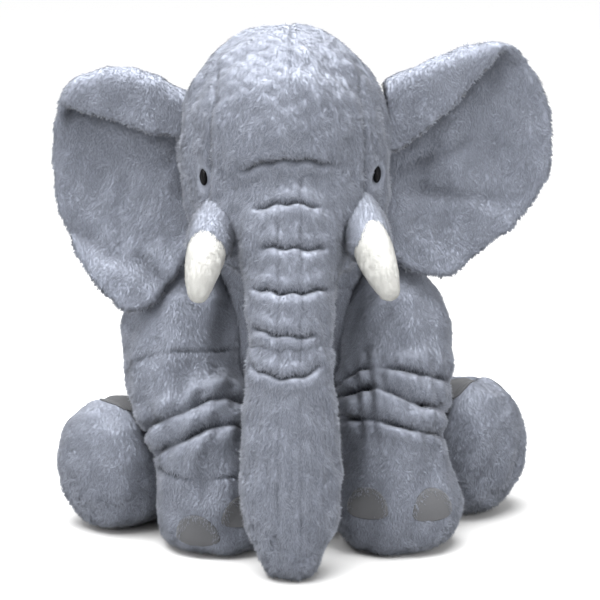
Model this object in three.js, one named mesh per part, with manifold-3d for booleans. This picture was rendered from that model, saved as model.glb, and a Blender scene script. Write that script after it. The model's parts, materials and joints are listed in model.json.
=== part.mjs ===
// A large stuffed toy elephant, sitting upright with its trunk hanging to the ground.
// It faces -Y, +X is on the right of someone looking at its face, and +Z is up.
// Every stuffed limb is a polyester filling inside plush panels that meet at sewn seams.

import * as THREE from 'three';
import { mergeVertices } from 'three/addons/utils/BufferGeometryUtils.js';
import Module from 'manifold-3d';

const wasm = await Module();
wasm.setup();

// ---------- driving dimensions, in millimetres and degrees ----------

const ORIGIN = new THREE.Vector3(-9.07, 21.19, 0); // moves the drawing frame to the middle of the base
const FABRIC = 4; // plush with its pile
const EASE = 0.6; // between a filling and the fabric round it
const SEAM = 0.5; // between two panels along a seam
const ROOM = 2.6; // round a part that turns
const FELT = 1.8; // toenail patches
const FELT_GAP = 0.4; // between a toenail and the foot, and between the trunk and the ground
const COVER = EASE + FABRIC;
const FAR = 1500; // half the size of a cutting block

const SKULL = { centre: [0, -38, 445], radii: [116, 122, 134] };
const MUZZLE = { centre: [0, -98, 370], radii: [96, 62, 60] };
const GUSSET_HALF = 68; // half the width of the strip over the forehead
const NECK = { centre: [0, 8, 316], radius: 54 };
const CHIN = { centre: [0, -96, 296], radii: [38, 32, 20] };

// Each row of a limb is the middle of a section and its two half widths.
const TORSO = [
  [0, 52, 14, 112, 108],
  [0, 50, 70, 134, 126],
  [0, 42, 145, 126, 118],
  [0, 26, 215, 104, 92],
  [0, 16, 268, 70, 58],
];
const TORSO_CORE = { centre: [0, 50, 122], radii: [78, 78, 106] };
const BELLY_HALF = 46; // half the width of the panel down the belly
const BELLY_BACK = 10; // how far back its side edges reach
const TRUNK_UPPER = [
  [0, -128, 357, 54, 52],
  [0, -160, 308, 47, 43],
  [0, -180, 268, 45, 42],
  [0, -190, 234, 45, 42],
];
const TRUNK_LOWER = [
  [0, -193, 220, 44, 42],
  [0, -198, 178, 47, 44],
  [0, -205, 130, 50, 46],
  [0, -210, 84, 49, 44],
  [0, -213, 48, 38, 35],
  [0, -214, 30, 26, 25],
];
const FRONT_LEFT = [
  [-120, -5, 224, 65, 65],
  [-116, -42, 178, 62, 60],
  [-101, -74, 140, 56, 56],
  [-88, -88, 96, 56, 56],
  [-78, -90, 42, 65, 62],
  [-77, -90, 16, 64, 60],
];
const FRONT_RIGHT = [
  [118, -5, 224, 65, 65],
  [118, -42, 178, 60, 60],
  [112, -74, 140, 54, 56],
  [113, -84, 96, 56, 58],
  [117, -86, 44, 70, 64],
  [118, -86, 16, 68, 62],
];
const HIND_LEFT = [
  [-88, 84, 72, 60, 60],
  [-132, 46, 66, 57, 57],
  [-182, 8, 68, 66, 64],
  [-207, -20, 72, 71, 67],
];
const HIND_RIGHT = [
  [88, 88, 72, 60, 60],
  [128, 82, 69, 60, 60],
  [170, 60, 74, 68, 65],
  [204, 33, 77, 75, 70],
];
const TUSK_LEFT = [
  [-88, -142, 361, 18, 18],
  [-91, -164, 336, 17, 17],
  [-96, -178, 314, 13, 13],
  [-95, -184, 304, 9, 9],
];
const TUSK_RIGHT = [
  [85, -142, 363, 18, 18],
  [89, -164, 338, 17, 17],
  [96, -178, 316, 13, 13],
  [101, -184, 305, 9, 9],
];
const TAIL = [
  [0, 183, 116, 9, 9],
  [0, 193, 92, 8, 8],
  [0, 199, 66, 8, 8],
];
const TAIL_TUFT = [
  [0, 201, 54, 12, 12],
  [0, 202, 40, 14, 14],
  [0, 201, 26, 8, 8],
];

const EYE = { place: [99, -89, 413], outward: [0.91, -0.4, -0.08], radius: 9.5, stem: 1.6 };
const EYE_FLATTER = 3; // how much less the dome of an eye rises than its radius
const EYE_EDGE = 1; // thickness of its rim
const WASHER_EASE = 0.4; // between the stem and its washer
const FLOOR_SOLE = 4; // thickness of the panel under a front foot and under the body
const HIND_SOLE = 6;

// Outlines of the ears as they face forward, from the top of the root round the rim.
const EAR_LEFT = [
  [-127, 488],
  [-160, 524],
  [-215, 524],
  [-250, 500],
  [-268, 430],
  [-262, 360],
  [-228, 298],
  [-180, 276],
  [-144, 292],
  [-127, 336],
  [-128, 412],
];
const EAR_RIGHT = [
  [127, 488],
  [160, 524],
  [214, 551],
  [254, 532],
  [283, 478],
  [284, 420],
  [252, 366],
  [205, 322],
  [160, 304],
  [127, 336],
  [128, 412],
];
const EAR_ROOT = 127; // how far out the sewn edge of an ear is
const EAR_HALF = 7; // half the thickness of the ear's wadding
const EAR_LINING = 1.8; // from the wadding to the fabric round it
const EAR_SEAM = 1; // from the middle of an ear to the edge of each of its panels
const EAR_LEAN = { height: 440, back: -12, down: 0.0017, out: 0.0008, tilt: 0.1 };

// ---------- materials ----------

const plush = () => new THREE.MeshStandardMaterial({ color: 0x8f97a7, roughness: 0.95, metalness: 0 });
const creamPlush = () => new THREE.MeshStandardMaterial({ color: 0xe6e6df, roughness: 0.9, metalness: 0 });
const greyFelt = () => new THREE.MeshStandardMaterial({ color: 0x6f7077, roughness: 0.95, metalness: 0 });
const filling = () => new THREE.MeshStandardMaterial({ color: 0xf2f2ee, roughness: 1, metalness: 0 });
const blackGloss = () => new THREE.MeshStandardMaterial({ color: 0x08080a, roughness: 0.12, metalness: 0 });
const whitePlastic = () => new THREE.MeshStandardMaterial({ color: 0xd8d8d4, roughness: 0.5, metalness: 0 });

// ---------- solids ----------

function solidOf(geometry) {
  geometry.deleteAttribute('normal');
  geometry.deleteAttribute('uv');
  const merged = mergeVertices(geometry, 1e-4);
  const mesh = new wasm.Mesh({
    numProp: 3,
    vertProperties: new Float32Array(merged.attributes.position.array),
    triVerts: new Uint32Array(merged.index.array),
  });
  return new wasm.Manifold(mesh);
}

function geometryOf(solid) {
  const mesh = solid.getMesh();
  const geometry = new THREE.BufferGeometry();
  geometry.setAttribute('position', new THREE.BufferAttribute(new Float32Array(mesh.vertProperties), 3));
  geometry.setIndex(new THREE.BufferAttribute(new Uint32Array(mesh.triVerts), 1));
  return geometry;
}

// The largest body of a cut panel, without the offcuts.
function mainPiece(solid) {
  const pieces = solid.decompose();
  return pieces.reduce((best, piece) => (piece.volume() > best.volume() ? piece : best));
}

function ball(centre, radii, grow = 0, across = 14, rings = 8) {
  const geometry = new THREE.SphereGeometry(1, across, rings);
  geometry.scale(radii[0] + grow, radii[1] + grow, radii[2] + grow);
  geometry.translate(...centre);
  return solidOf(geometry);
}

// A block that fills everything on the side of a plane that its normal points to.
function halfSpace(point, normal) {
  const geometry = new THREE.BoxGeometry(2 * FAR, 2 * FAR, 2 * FAR);
  geometry.translate(0, 0, FAR);
  const up = new THREE.Vector3(0, 0, 1);
  const turn = new THREE.Quaternion().setFromUnitVectors(up, new THREE.Vector3(...normal).normalize());
  geometry.applyQuaternion(turn);
  geometry.translate(...point);
  return solidOf(geometry);
}

const above = (z) => halfSpace([0, 0, z], [0, 0, 1]);
const rightOf = (x) => halfSpace([x, 0, 0], [1, 0, 0]);
const leftOf = (x) => halfSpace([x, 0, 0], [-1, 0, 0]);

// A stuffed tube through a limb's rows, with a dome on each end.
// caps are the depths of the two domes as shares of the radius there.
function softTube(rows, grow = 0, { caps = [1, 1], across = 12, steps = 1 } = {}) {
  const curve = new THREE.CatmullRomCurve3(rows.map((row) => new THREE.Vector3(...row.slice(0, 3))));
  const spans = rows.length - 1;
  const rings = [];
  const ring = (t, shift, scale) => {
    const row = Math.min(Math.floor(t * spans), spans - 1);
    const share = t * spans - row;
    const half = [3, 4].map((k) => THREE.MathUtils.lerp(rows[row][k], rows[row + 1][k], share) + grow);
    const along = curve.getTangent(t);
    const centre = curve.getPoint(t).addScaledVector(along, shift);
    rings.push({ centre, along, half: half.map((value) => value * scale), scale });
  };
  const domeAngles = [0, 50].map(THREE.MathUtils.degToRad);
  for (const angle of domeAngles) {
    ring(0, -Math.cos(angle) * (rows[0][3] * caps[0] + grow), Math.sin(angle));
  }
  for (let k = 0; k <= spans * steps; k += 1) {
    ring(k / (spans * steps), 0, 1);
  }
  for (const angle of domeAngles.reverse()) {
    ring(1, Math.cos(angle) * (rows[spans][3] * caps[1] + grow), Math.sin(angle));
  }
  const profile = rings.map((r, k) => new THREE.Vector2(r.scale, k));
  const geometry = new THREE.LatheGeometry(profile, across);
  const place = geometry.attributes.position;
  for (let k = 0; k < place.count; k += 1) {
    const { centre, along, half, scale } = rings[Math.round(place.getY(k))];
    const depth = new THREE.Vector3(1, 0, 0).cross(along).normalize();
    const side = along.clone().cross(depth);
    const unit = scale || 1;
    const point = centre.clone();
    point.addScaledVector(side, (place.getX(k) / unit) * half[0]);
    point.addScaledVector(depth, (place.getZ(k) / unit) * half[1]);
    place.setXYZ(k, point.x, point.y, point.z);
  }
  return solidOf(geometry);
}

// The part turned about an axis through a pivot, at each of some angles, joined into one.
function swept(solid, pivot, axis, degrees) {
  const about = new THREE.Vector3(...axis).normalize();
  const poses = degrees.map((angle) => {
    const matrix = new THREE.Matrix4().makeTranslation(...pivot);
    matrix.multiply(new THREE.Matrix4().makeRotationAxis(about, THREE.MathUtils.degToRad(angle)));
    matrix.multiply(new THREE.Matrix4().makeTranslation(...pivot.map((value) => -value)));
    return solid.transform(matrix.toArray());
  });
  return poses.reduce((sum, pose) => sum.add(pose));
}

const elephant = new THREE.Group();
elephant.position.copy(ORIGIN);

function addNode(name, solid, material, bend) {
  const geometry = geometryOf(solid);
  if (bend) {
    const place = geometry.attributes.position;
    for (let k = 0; k < place.count; k += 1) {
      place.setY(k, place.getY(k) + bend(place.getX(k), place.getZ(k)));
    }
  }
  const mesh = new THREE.Mesh(geometry, material);
  mesh.name = name;
  elephant.add(mesh);
}

// ---------- limb shapes ----------

const frontLegShape = (rows) => (grow) => softTube(rows, grow, { caps: [1, 0.25] });
const hindLegShape = (rows) => (grow) => softTube(rows, grow, { caps: [1, 0.2] });
const trunkUpperShape = (grow) => softTube(TRUNK_UPPER, grow, { caps: [1, 0.4] });
const trunkLowerShape = (grow) => softTube(TRUNK_LOWER, grow, { caps: [1, 1] });
const torsoShape = (grow) => softTube(TORSO, grow, { caps: [0.3, 0.35], across: 16 });
const headShape = (grow) => {
  const skull = ball(SKULL.centre, SKULL.radii, grow, 16, 10);
  return skull.add(ball(MUZZLE.centre, MUZZLE.radii, grow));
};

const floor = above(0);
const overSole = above(FLOOR_SOLE + SEAM);

// The four legs, each with the hinge line at its root and how far it turns, in degrees.
const LEGS = [
  { name: 'front_left', rows: FRONT_LEFT, shape: frontLegShape(FRONT_LEFT), axis: [-0.82, 0.57, 0], open: 24 },
  { name: 'front_right', rows: FRONT_RIGHT, shape: frontLegShape(FRONT_RIGHT), axis: [-0.82, -0.57, 0], open: 24 },
  { name: 'hind_left', rows: HIND_LEFT, shape: hindLegShape(HIND_LEFT), axis: [0, 0, -1], open: 25 },
  { name: 'hind_right', rows: HIND_RIGHT, shape: hindLegShape(HIND_RIGHT), axis: [0, 0, 1], open: 20 },
];

// Everything that the body makes room for.
const neckRoom = ball(NECK.centre, [NECK.radius, NECK.radius, NECK.radius], ROOM);
const legRooms = LEGS.map(({ rows, shape, axis, open }) => {
  return swept(shape(COVER + ROOM), rows[0].slice(0, 3), axis, [0, open / 2, open]);
});
const bodyRoom = legRooms.reduce((sum, room) => sum.add(room), neckRoom);

// ---------- body ----------

function addTorso() {
  const core = ball(TORSO_CORE.centre, TORSO_CORE.radii, 0, 16, 10);
  addNode('torso_stuffing', mainPiece(core.intersect(overSole).subtract(bodyRoom)), filling());
  const outer = torsoShape(COVER).intersect(floor).subtract(bodyRoom);
  const shell = outer.subtract(torsoShape(EASE));
  const upper = shell.intersect(overSole);
  const bellyBlock = (grow) => {
    const front = halfSpace([0, BELLY_BACK + grow, 0], [0, -1, 0]);
    return front.intersect(rightOf(-BELLY_HALF - grow)).intersect(leftOf(BELLY_HALF + grow));
  };
  addNode('torso_belly_panel', mainPiece(upper.intersect(bellyBlock(0))), plush());
  const sides = upper.subtract(bellyBlock(SEAM));
  addNode('torso_left_panel', mainPiece(sides.intersect(leftOf(-SEAM / 2))), plush());
  addNode('torso_right_panel', mainPiece(sides.intersect(rightOf(SEAM / 2))), plush());
  const base = outer.subtract(above(FLOOR_SOLE));
  addNode('torso_base_panel', mainPiece(base), plush());
}

// ---------- eyes and tusks, which the head makes room for ----------

function eyeSolid(side, points) {
  const profile = points.map(([radius, height]) => new THREE.Vector2(radius, height));
  const geometry = new THREE.LatheGeometry(profile, 12);
  const outward = new THREE.Vector3(side * EYE.outward[0], EYE.outward[1], EYE.outward[2]).normalize();
  geometry.applyQuaternion(new THREE.Quaternion().setFromUnitVectors(new THREE.Vector3(0, 1, 0), outward));
  geometry.translate(side * EYE.place[0], EYE.place[1], EYE.place[2]);
  return solidOf(geometry);
}

const STEM_LENGTH = 15;
const WASHER = { radius: 8, thickness: 2, depth: 9 };

function eyeProfile(grow) {
  const dome = [0, 30, 60].map(THREE.MathUtils.degToRad);
  const rim = EYE.radius + grow;
  const top = dome.reverse().map((a) => [rim * Math.sin(a), (rim - EYE_FLATTER) * Math.cos(a)]);
  return [
    [0, -STEM_LENGTH - grow],
    [EYE.stem + grow, -STEM_LENGTH - grow],
    [EYE.stem + grow, -2 * EYE_EDGE - grow],
    [rim, -EYE_EDGE - grow],
    ...top,
  ];
}

function washerProfile(grow, hole) {
  const low = -WASHER.depth - WASHER.thickness - grow;
  const high = -WASHER.depth + grow;
  return [
    [hole, low],
    [WASHER.radius + grow, low],
    [WASHER.radius + grow, high],
    [hole, high],
    ...(hole ? [[hole, low]] : []),
  ];
}

const TUSKS = [
  { name: 'tusk_left', rows: TUSK_LEFT },
  { name: 'tusk_right', rows: TUSK_RIGHT },
];
const TUSK_FABRIC = 2.4;
const SOCKET_WALL = 5;
const tuskShape = (rows, grow) => softTube(rows, grow, { caps: [0.4, 1], across: 10 });
const socketShape = (rows, grow) => {
  const half = rows[1].map((value, k) => THREE.MathUtils.lerp(rows[0][k], value, 0.5));
  const sleeve = [rows[0], half];
  return softTube(sleeve, grow, { caps: [0.2, 0.05], across: 10 });
};

function faceRoom(grow) {
  let room = null;
  for (const side of [-1, 1]) {
    const eye = eyeSolid(side, [...eyeProfile(grow), [0, EYE.radius - EYE_FLATTER + grow]]);
    const washer = eyeSolid(side, washerProfile(grow, 0));
    room = room ? room.add(eye) : eye;
    room = room.add(washer);
  }
  for (const { rows } of TUSKS) {
    room = room.add(tuskShape(rows, EASE + TUSK_FABRIC + grow));
    room = room.add(socketShape(rows, TUSK_FABRIC + SOCKET_WALL + grow));
  }
  return room;
}

function addEyes() {
  for (const [name, side] of [['left', -1], ['right', 1]]) {
    addNode(`eye_${name}`, eyeSolid(side, [...eyeProfile(0), [0, EYE.radius - EYE_FLATTER]]), blackGloss());
    addNode(`eye_washer_${name}`, eyeSolid(side, washerProfile(0, EYE.stem + WASHER_EASE)), whitePlastic());
  }
}

function addTusks() {
  for (const { name, rows } of TUSKS) {
    const fill = tuskShape(rows, 0);
    addNode(`${name}_stuffing`, fill, filling());
    const root = new THREE.Vector3(...rows[0].slice(0, 3));
    const along = new THREE.Vector3(...rows[1].slice(0, 3)).sub(root).normalize();
    const mouth = halfSpace(root.toArray(), along.toArray());
    const cover = tuskShape(rows, EASE + TUSK_FABRIC).subtract(tuskShape(rows, EASE)).intersect(mouth);
    addNode(`${name}_cover`, mainPiece(cover), creamPlush());
    const inside = tuskShape(rows, EASE + TUSK_FABRIC + SEAM);
    const socket = socketShape(rows, TUSK_FABRIC + SOCKET_WALL).subtract(inside);
    addNode(`${name.replace('tusk', 'tusk_socket')}`, mainPiece(socket.intersect(mouth)), plush());
  }
}

// ---------- head ----------

const TRUNK_PIVOT = TRUNK_UPPER[0].slice(0, 3);
const TRUNK_LIFT = 28;
const CURL_PIVOT = TRUNK_LOWER[0].slice(0, 3);
const TRUNK_CURL = 34;
const ACROSS = [-1, 0, 0];
// The side seams of the trunk lie in a plane through its middle that faces ahead.
const UPPER_SEAM = { middle: [0, -150, 300], ahead: [0, -0.86, -0.5] };
const LOWER_SEAM = { middle: [0, -203, 130], ahead: [0, -1, -0.12] };

function addHead() {
  const trunkRoom = swept(trunkUpperShape(COVER + ROOM), TRUNK_PIVOT, ACROSS, [0, TRUNK_LIFT]);
  const room = trunkRoom.add(neckRoom).add(faceRoom(SEAM));
  const chinRoom = ball(CHIN.centre, CHIN.radii, SEAM);
  const trunkBall = ball(TRUNK_PIVOT, [TRUNK_UPPER[0][3], TRUNK_UPPER[0][3], TRUNK_UPPER[0][3]], 2 * COVER);
  const skullFilling = ball(SKULL.centre, SKULL.radii, -COVER, 16, 10).subtract(trunkBall).subtract(neckRoom);
  addNode('head_stuffing', mainPiece(skullFilling.subtract(faceRoom(SEAM))), filling());
  const shell = headShape(COVER).subtract(headShape(EASE)).subtract(room).subtract(chinRoom);
  const gusset = rightOf(-GUSSET_HALF).intersect(leftOf(GUSSET_HALF));
  addNode('head_gusset', mainPiece(shell.intersect(gusset)), plush());
  addNode('head_left_panel', mainPiece(shell.intersect(leftOf(-GUSSET_HALF - SEAM))), plush());
  addNode('head_right_panel', mainPiece(shell.intersect(rightOf(GUSSET_HALF + SEAM))), plush());
  const chin = ball(CHIN.centre, CHIN.radii).subtract(trunkRoom).subtract(neckRoom);
  addNode('chin_pad', mainPiece(chin), plush());
}

function addNeck() {
  addNode('neck_stuffing', ball(NECK.centre, [NECK.radius, NECK.radius, NECK.radius], 0), filling());
}

// ---------- trunk ----------

function addTrunk() {
  const lowerRoom = swept(trunkLowerShape(COVER + ROOM), CURL_PIVOT, ACROSS, [0, TRUNK_CURL / 2, TRUNK_CURL]);
  const segments = [
    { name: 'trunk_upper', shape: trunkUpperShape, room: lowerRoom, ...UPPER_SEAM },
    { name: 'trunk_lower', shape: trunkLowerShape, room: null, ...LOWER_SEAM },
  ];
  for (const { name, shape, room, middle, ahead } of segments) {
    const clear = (solid) => (room ? solid.subtract(room) : solid);
    addNode(`${name}_stuffing`, mainPiece(clear(shape(0).intersect(above(COVER)))), filling());
    const shell = clear(shape(COVER).subtract(shape(EASE)).intersect(above(FELT_GAP)));
    const rear = ahead.map((value) => -value);
    const seamPoint = middle.map((value, k) => value + rear[k] * SEAM);
    addNode(`${name}_front_panel`, mainPiece(shell.intersect(halfSpace(middle, ahead))), plush());
    addNode(`${name}_rear_panel`, mainPiece(shell.intersect(halfSpace(seamPoint, rear))), plush());
  }
}

// ---------- ears ----------

// The pad before it is bent: an outline in x and z, thickest in the middle.
function earPad(outline, grow, half) {
  const curve = new THREE.CatmullRomCurve3(
    outline.map(([x, z]) => new THREE.Vector3(x, 0, z)),
    true,
  );
  const across = 26;
  const rings = 6;
  const middle = new THREE.Vector3();
  outline.forEach(([x, z]) => middle.add(new THREE.Vector3(x / outline.length, 0, z / outline.length)));
  const geometry = new THREE.SphereGeometry(1, across, rings);
  const place = geometry.attributes.position;
  for (let k = 0; k < place.count; k += 1) {
    const x = place.getX(k);
    const y = place.getY(k);
    const z = place.getZ(k);
    const reach = Math.hypot(x, z);
    const turn = (Math.atan2(z, x) / (2 * Math.PI) + 1) % 1;
    const rim = curve.getPoint(turn).sub(middle);
    const rimLength = rim.length();
    const spread = reach ** 0.6 * (1 + grow / rimLength);
    place.setXYZ(k, middle.x + rim.x * spread, y * (half + grow), middle.z + rim.z * spread);
  }
  return solidOf(geometry);
}

// How far back an ear's pad lies at a place: its lower part hangs forward of the shoulder.
function earBend(side) {
  return (x, z) => {
    const out = side * x - EAR_ROOT;
    const down = Math.max(0, EAR_LEAN.height - z);
    return EAR_LEAN.back - EAR_LEAN.down * down * down - EAR_LEAN.out * out * out + EAR_LEAN.tilt * out;
  };
}

function addEars() {
  for (const [name, outline, side] of [['ear_left', EAR_LEFT, -1], ['ear_right', EAR_RIGHT, 1]]) {
    const bend = earBend(side);
    const order = side < 0 ? outline : [...outline].reverse();
    const wadding = earPad(order, 0, EAR_HALF);
    addNode(`${name}_wadding`, wadding, filling(), bend);
    const shell = earPad(order, COVER, EAR_HALF).subtract(earPad(order, EAR_LINING, EAR_HALF));
    const front = halfSpace([0, -EAR_SEAM, 0], [0, -1, 0]);
    const back = halfSpace([0, EAR_SEAM, 0], [0, 1, 0]);
    addNode(`${name}_front_panel`, shell.intersect(front), plush(), bend);
    addNode(`${name}_back_panel`, shell.intersect(back), plush(), bend);
  }
}

// ---------- legs ----------

// The two toenails of each foot. On a front foot a nail is turned from straight ahead by some
// degrees and stands at a height; on a hind foot it is turned from the top of the sole's rim.
const NAILS = {
  front_left: [[-22, 32], [24, 54]],
  front_right: [[-30, 62], [33, 60]],
  hind_left: [[-62, 22], [6, 22]],
  hind_right: [[-4, 22], [50, 22]],
};
const NAIL_RADIUS = 24;

function nailPlace(rows, hind, [degrees, height], along) {
  const turn = THREE.MathUtils.degToRad(degrees);
  if (!hind) {
    const [x, y, , half] = rows[4];
    const reach = half + COVER;
    return [x + reach * Math.sin(turn), y - reach * Math.cos(turn), height];
  }
  const end = new THREE.Vector3(...rows[rows.length - 1].slice(0, 3));
  const up = new THREE.Vector3(0, 0, 1);
  const right = up.clone().cross(along).normalize();
  const reach = rows[rows.length - 1][3] + COVER;
  end.addScaledVector(along, -height);
  end.addScaledVector(up, reach * Math.cos(turn)).addScaledVector(right, reach * Math.sin(turn));
  return end.toArray();
}

function addLeg({ name, rows, shape }) {
  const hind = name.startsWith('hind');
  const last = new THREE.Vector3(...rows[rows.length - 1].slice(0, 3));
  const before = new THREE.Vector3(...rows[rows.length - 2].slice(0, 3));
  const along = last.clone().sub(before).normalize();
  const soleNormal = hind ? along.toArray() : [0, 0, -1];
  const soleEdge = hind ? last.clone().addScaledVector(along, HIND_SOLE) : new THREE.Vector3(0, 0, FLOOR_SOLE);
  const solePlane = halfSpace(soleEdge.toArray(), soleNormal);
  const coverEdge = soleEdge.clone().addScaledVector(new THREE.Vector3(...soleNormal), -SEAM);
  const soleRoom = halfSpace(coverEdge.toArray(), soleNormal);
  const outer = shape(COVER).intersect(floor);
  const keep = outer.subtract(soleRoom);
  const inside = shape(EASE);
  const fillFloor = above(COVER + SEAM);
  addNode(`leg_${name}_stuffing`, mainPiece(shape(0).intersect(fillFloor).subtract(soleRoom)), filling());
  const start = new THREE.Vector3(...rows[0].slice(0, 3));
  const line = last.clone().sub(start).normalize();
  const split = hind ? new THREE.Vector3(0, 0, 1) : new THREE.Vector3(0, 1, 0).cross(line).normalize();
  const shell = keep.subtract(inside.intersect(above(hind ? FABRIC : 0)));
  const sides = hind ? ['upper_panel', 'lower_panel'] : ['left_panel', 'right_panel'];
  if (split.x < 0) {
    split.negate();
  }
  sides.forEach((part, k) => {
    const way = split.clone().multiplyScalar(hind === (k === 0) ? 1 : -1);
    const seam = start.clone().addScaledVector(way, SEAM / 2);
    addNode(`leg_${name}_${part}`, mainPiece(shell.intersect(halfSpace(seam.toArray(), way.toArray()))), plush());
  });
  addNode(`leg_${name}_sole`, mainPiece(outer.intersect(solePlane)), plush());
  const foot = shape(COVER + FELT_GAP);
  const patch = shape(COVER + FELT_GAP + FELT).subtract(foot).subtract(soleRoom);
  NAILS[name].forEach((nail, k) => {
    const place = nailPlace(rows, hind, nail, along);
    const outline = ball(place, [NAIL_RADIUS, NAIL_RADIUS, NAIL_RADIUS], 0, 10, 6);
    addNode(`toenail_${name}_${k + 1}`, mainPiece(patch.intersect(outline)), greyFelt());
  });
}

// ---------- tail ----------

function addTail() {
  const tuft = softTube(TAIL_TUFT, 0, { caps: [0.5, 1], across: 8 });
  const roomForTuft = softTube(TAIL_TUFT, SEAM, { caps: [0.5, 1], across: 8 });
  const tail = softTube(TAIL, 0, { caps: [0.3, 0.6], across: 8 });
  addNode('tail', mainPiece(tail.subtract(roomForTuft)), plush());
  addNode('tail_tuft', tuft, plush());
}

addTorso();
addNeck();
addHead();
addEyes();
addTusks();
addTrunk();
addEars();
LEGS.forEach(addLeg);
addTail();

export default elephant;
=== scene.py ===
import json
import math

import bmesh
import bpy
import numpy as np
from mathutils import Matrix, Vector
from mathutils.bvhtree import BVHTree


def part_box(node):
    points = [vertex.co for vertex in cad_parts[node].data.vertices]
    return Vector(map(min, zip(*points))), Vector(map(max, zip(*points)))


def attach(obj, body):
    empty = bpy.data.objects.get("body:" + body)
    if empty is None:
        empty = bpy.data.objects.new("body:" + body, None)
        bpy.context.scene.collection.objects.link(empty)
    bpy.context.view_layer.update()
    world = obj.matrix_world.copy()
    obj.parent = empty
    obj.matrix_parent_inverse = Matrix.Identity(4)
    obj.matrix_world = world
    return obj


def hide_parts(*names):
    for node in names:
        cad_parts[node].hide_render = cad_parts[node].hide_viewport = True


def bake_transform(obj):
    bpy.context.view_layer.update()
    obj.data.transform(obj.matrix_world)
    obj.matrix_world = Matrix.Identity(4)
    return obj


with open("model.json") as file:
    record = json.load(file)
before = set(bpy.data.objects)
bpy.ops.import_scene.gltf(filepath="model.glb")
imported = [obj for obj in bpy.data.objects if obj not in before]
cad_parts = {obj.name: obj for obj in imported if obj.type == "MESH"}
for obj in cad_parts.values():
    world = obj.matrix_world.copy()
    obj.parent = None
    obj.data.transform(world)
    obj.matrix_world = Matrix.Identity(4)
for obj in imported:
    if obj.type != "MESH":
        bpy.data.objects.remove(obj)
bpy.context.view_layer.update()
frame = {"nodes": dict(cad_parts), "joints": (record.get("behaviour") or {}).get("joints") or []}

joints = {joint["name"]: joint for joint in frame["joints"]}
MM = 0.001

# The toy's own middle plane and the depth that its drawing is measured from: both come from the
# neck, which is sewn on the middle of the body, 8 mm behind that depth.
neck_pivot = Vector(joints["head_turn"]["pos_m"])
NECK_BACK = 8 * MM
drawing = Vector((neck_pivot.x, neck_pivot.y - NECK_BACK, 0))


def place(x, y, z):
    """A point of the drawing, given in millimetres, in the frame."""
    return drawing + Vector((x, y, z)) * MM


# ---- The place it stands: a pale sweep of paper, a big soft light overhead and a weaker one from
# each side, and the camera a little above the toy, straight in front of it. The paper is darker
# close to the toy, so that less light comes back up from it on to the legs.
CAMERA_BACK = 2.4
CAMERA_HIGH = 0.70
LOOK_AT = place(10, 0, 262)
FIELD = 600 / 2137  # the width seen for each metre of distance

camera_data = bpy.data.cameras.new("camera")
camera_data.sensor_width = 36
camera_data.lens = camera_data.sensor_width / FIELD
camera = bpy.data.objects.new("camera", camera_data)
camera.location = Vector((LOOK_AT.x, drawing.y - CAMERA_BACK, CAMERA_HIGH))
camera.rotation_euler = (LOOK_AT - camera.location).to_track_quat("-Z", "Y").to_euler()
bpy.context.scene.collection.objects.link(camera)
bpy.context.scene.camera = camera

PAPER = 40  # half of its width
PAPER_STARTS_TO_PALE = 1.2
PAPER_IS_PALE = 4
PAPER_NEAR, PAPER_FAR = 0.45, 0.99
paper = bpy.data.meshes.new("paper")
paper_shape = bmesh.new()
bmesh.ops.create_grid(paper_shape, x_segments=2, y_segments=2, size=PAPER)
paper_shape.to_mesh(paper)
paper_shape.free()
floor = bpy.data.objects.new("floor", paper)
bpy.context.scene.collection.objects.link(floor)
paper_finish = bpy.data.materials.new("white_paper")
paper_finish.use_nodes = True
paper_surface = paper_finish.node_tree.nodes["Principled BSDF"]
paper_nodes = paper_finish.node_tree
paper_place = paper_nodes.nodes.new("ShaderNodeTexCoord")
paper_away = paper_nodes.nodes.new("ShaderNodeVectorMath")
paper_away.operation = "LENGTH"
paper_pale = paper_nodes.nodes.new("ShaderNodeMapRange")
paper_pale.inputs["From Min"].default_value = PAPER_STARTS_TO_PALE
paper_pale.inputs["From Max"].default_value = PAPER_IS_PALE
paper_pale.inputs["To Min"].default_value = PAPER_NEAR
paper_pale.inputs["To Max"].default_value = PAPER_FAR
paper_nodes.links.new(paper_place.outputs["Object"], paper_away.inputs[0])
paper_nodes.links.new(paper_away.outputs["Value"], paper_pale.inputs["Value"])
paper_nodes.links.new(paper_pale.outputs["Result"], paper_surface.inputs["Base Color"])
paper_surface.inputs["Roughness"].default_value = 0.9
paper_surface.inputs["Specular IOR Level"].default_value = 0.1
paper.materials.append(paper_finish)


def soft_light(name, spot, aim, size, power):
    """A round soft lamp at a spot in metres, turned to a point."""
    light = bpy.data.lights.new(name, "AREA")
    light.shape = "DISK"
    light.size = size
    light.energy = power
    lamp = bpy.data.objects.new(name, light)
    lamp.location = spot
    lamp.rotation_euler = (Vector(aim) - Vector(spot)).to_track_quat("-Z", "Y").to_euler()
    bpy.context.scene.collection.objects.link(lamp)


soft_light("top_light", (-0.3, -0.45, 2.4), (0, -0.05, 0.3), 2.8, 300)
soft_light("left_light", (-1.9, -2.0, 1.1), (0, 0, 0.25), 1.8, 50)
soft_light("right_light", (2.2, -1.8, 1.0), (0, 0, 0.25), 1.8, 55)
surroundings = bpy.data.worlds.new("studio")
surroundings.use_nodes = True
surroundings.node_tree.nodes["Background"].inputs["Color"].default_value = (1, 1, 1, 1)
surroundings.node_tree.nodes["Background"].inputs["Strength"].default_value = 1.0
bpy.context.scene.world = surroundings
bpy.context.scene.view_settings.view_transform = "Standard"


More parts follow.
